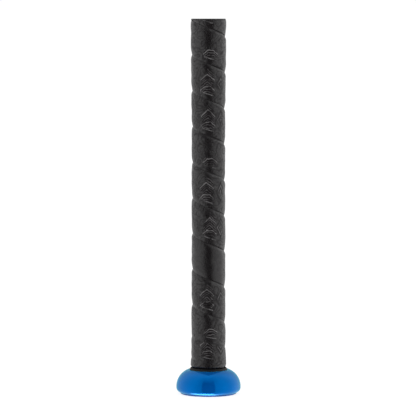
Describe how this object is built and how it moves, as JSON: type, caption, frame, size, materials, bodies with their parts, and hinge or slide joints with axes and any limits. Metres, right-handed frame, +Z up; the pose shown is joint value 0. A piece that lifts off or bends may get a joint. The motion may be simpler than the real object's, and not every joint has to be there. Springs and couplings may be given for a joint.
{
  "type": "swing trainer stick",
  "caption": "Short weighted bat-style swing trainer stick that stands on its domed knob, with a spirally wound cushioned grip over a tube.",
  "frame": {"origin": "centre of the flat foot under the knob, where the stick's axis meets the ground", "axes": "+Z up the stick, from the knob to the end cap; -Y is the side that faces the viewer, +X to the viewer's right"},
  "size_m": [0.0494, 0.0494, 0.287],
  "materials": {
    "knob_plastic": "glossy blue moulding",
    "base_plastic": "satin dark blue moulding",
    "pad_foam": "adhesive foam",
    "zinc_steel": "zinc-plated",
    "insert_aluminium": "turned",
    "tube_aluminium": "drawn",
    "butt_rubber": "black moulded rubber",
    "taper_foam": "closed-cell foam",
    "tape": "double-sided adhesive tape",
    "grip_tape": "embossed black synthetic leather",
    "cap_rubber": "black moulded rubber",
    "seal_rubber": "black nitrile",
    "weight_steel": "oiled bar stock",
    "bush_rubber": "moulded rubber",
    "plug_foam": "open-cell foam"
  },
  "bodies": {
    "root": {"knob_body": "knob_plastic", "base_cap": "base_plastic", "base_cap_pad": "pad_foam", "knob_screw": "zinc_steel", "knob_washer": "zinc_steel", "tube_insert": "insert_aluminium", "insert_pin": "zinc_steel", "handle_tube": "tube_aluminium", "butt_ring": "butt_rubber", "butt_taper": "taper_foam", "under_tape": "tape", "grip_wrap": "grip_tape", "end_cap": "cap_rubber", "end_cap_seal_lower": "seal_rubber", "end_cap_seal_upper": "seal_rubber", "swing_weight": "weight_steel", "weight_bush_lower": "bush_rubber", "weight_bush_upper": "bush_rubber", "lower_foam": "plug_foam", "upper_foam": "plug_foam"}
  },
  "joints": []
}
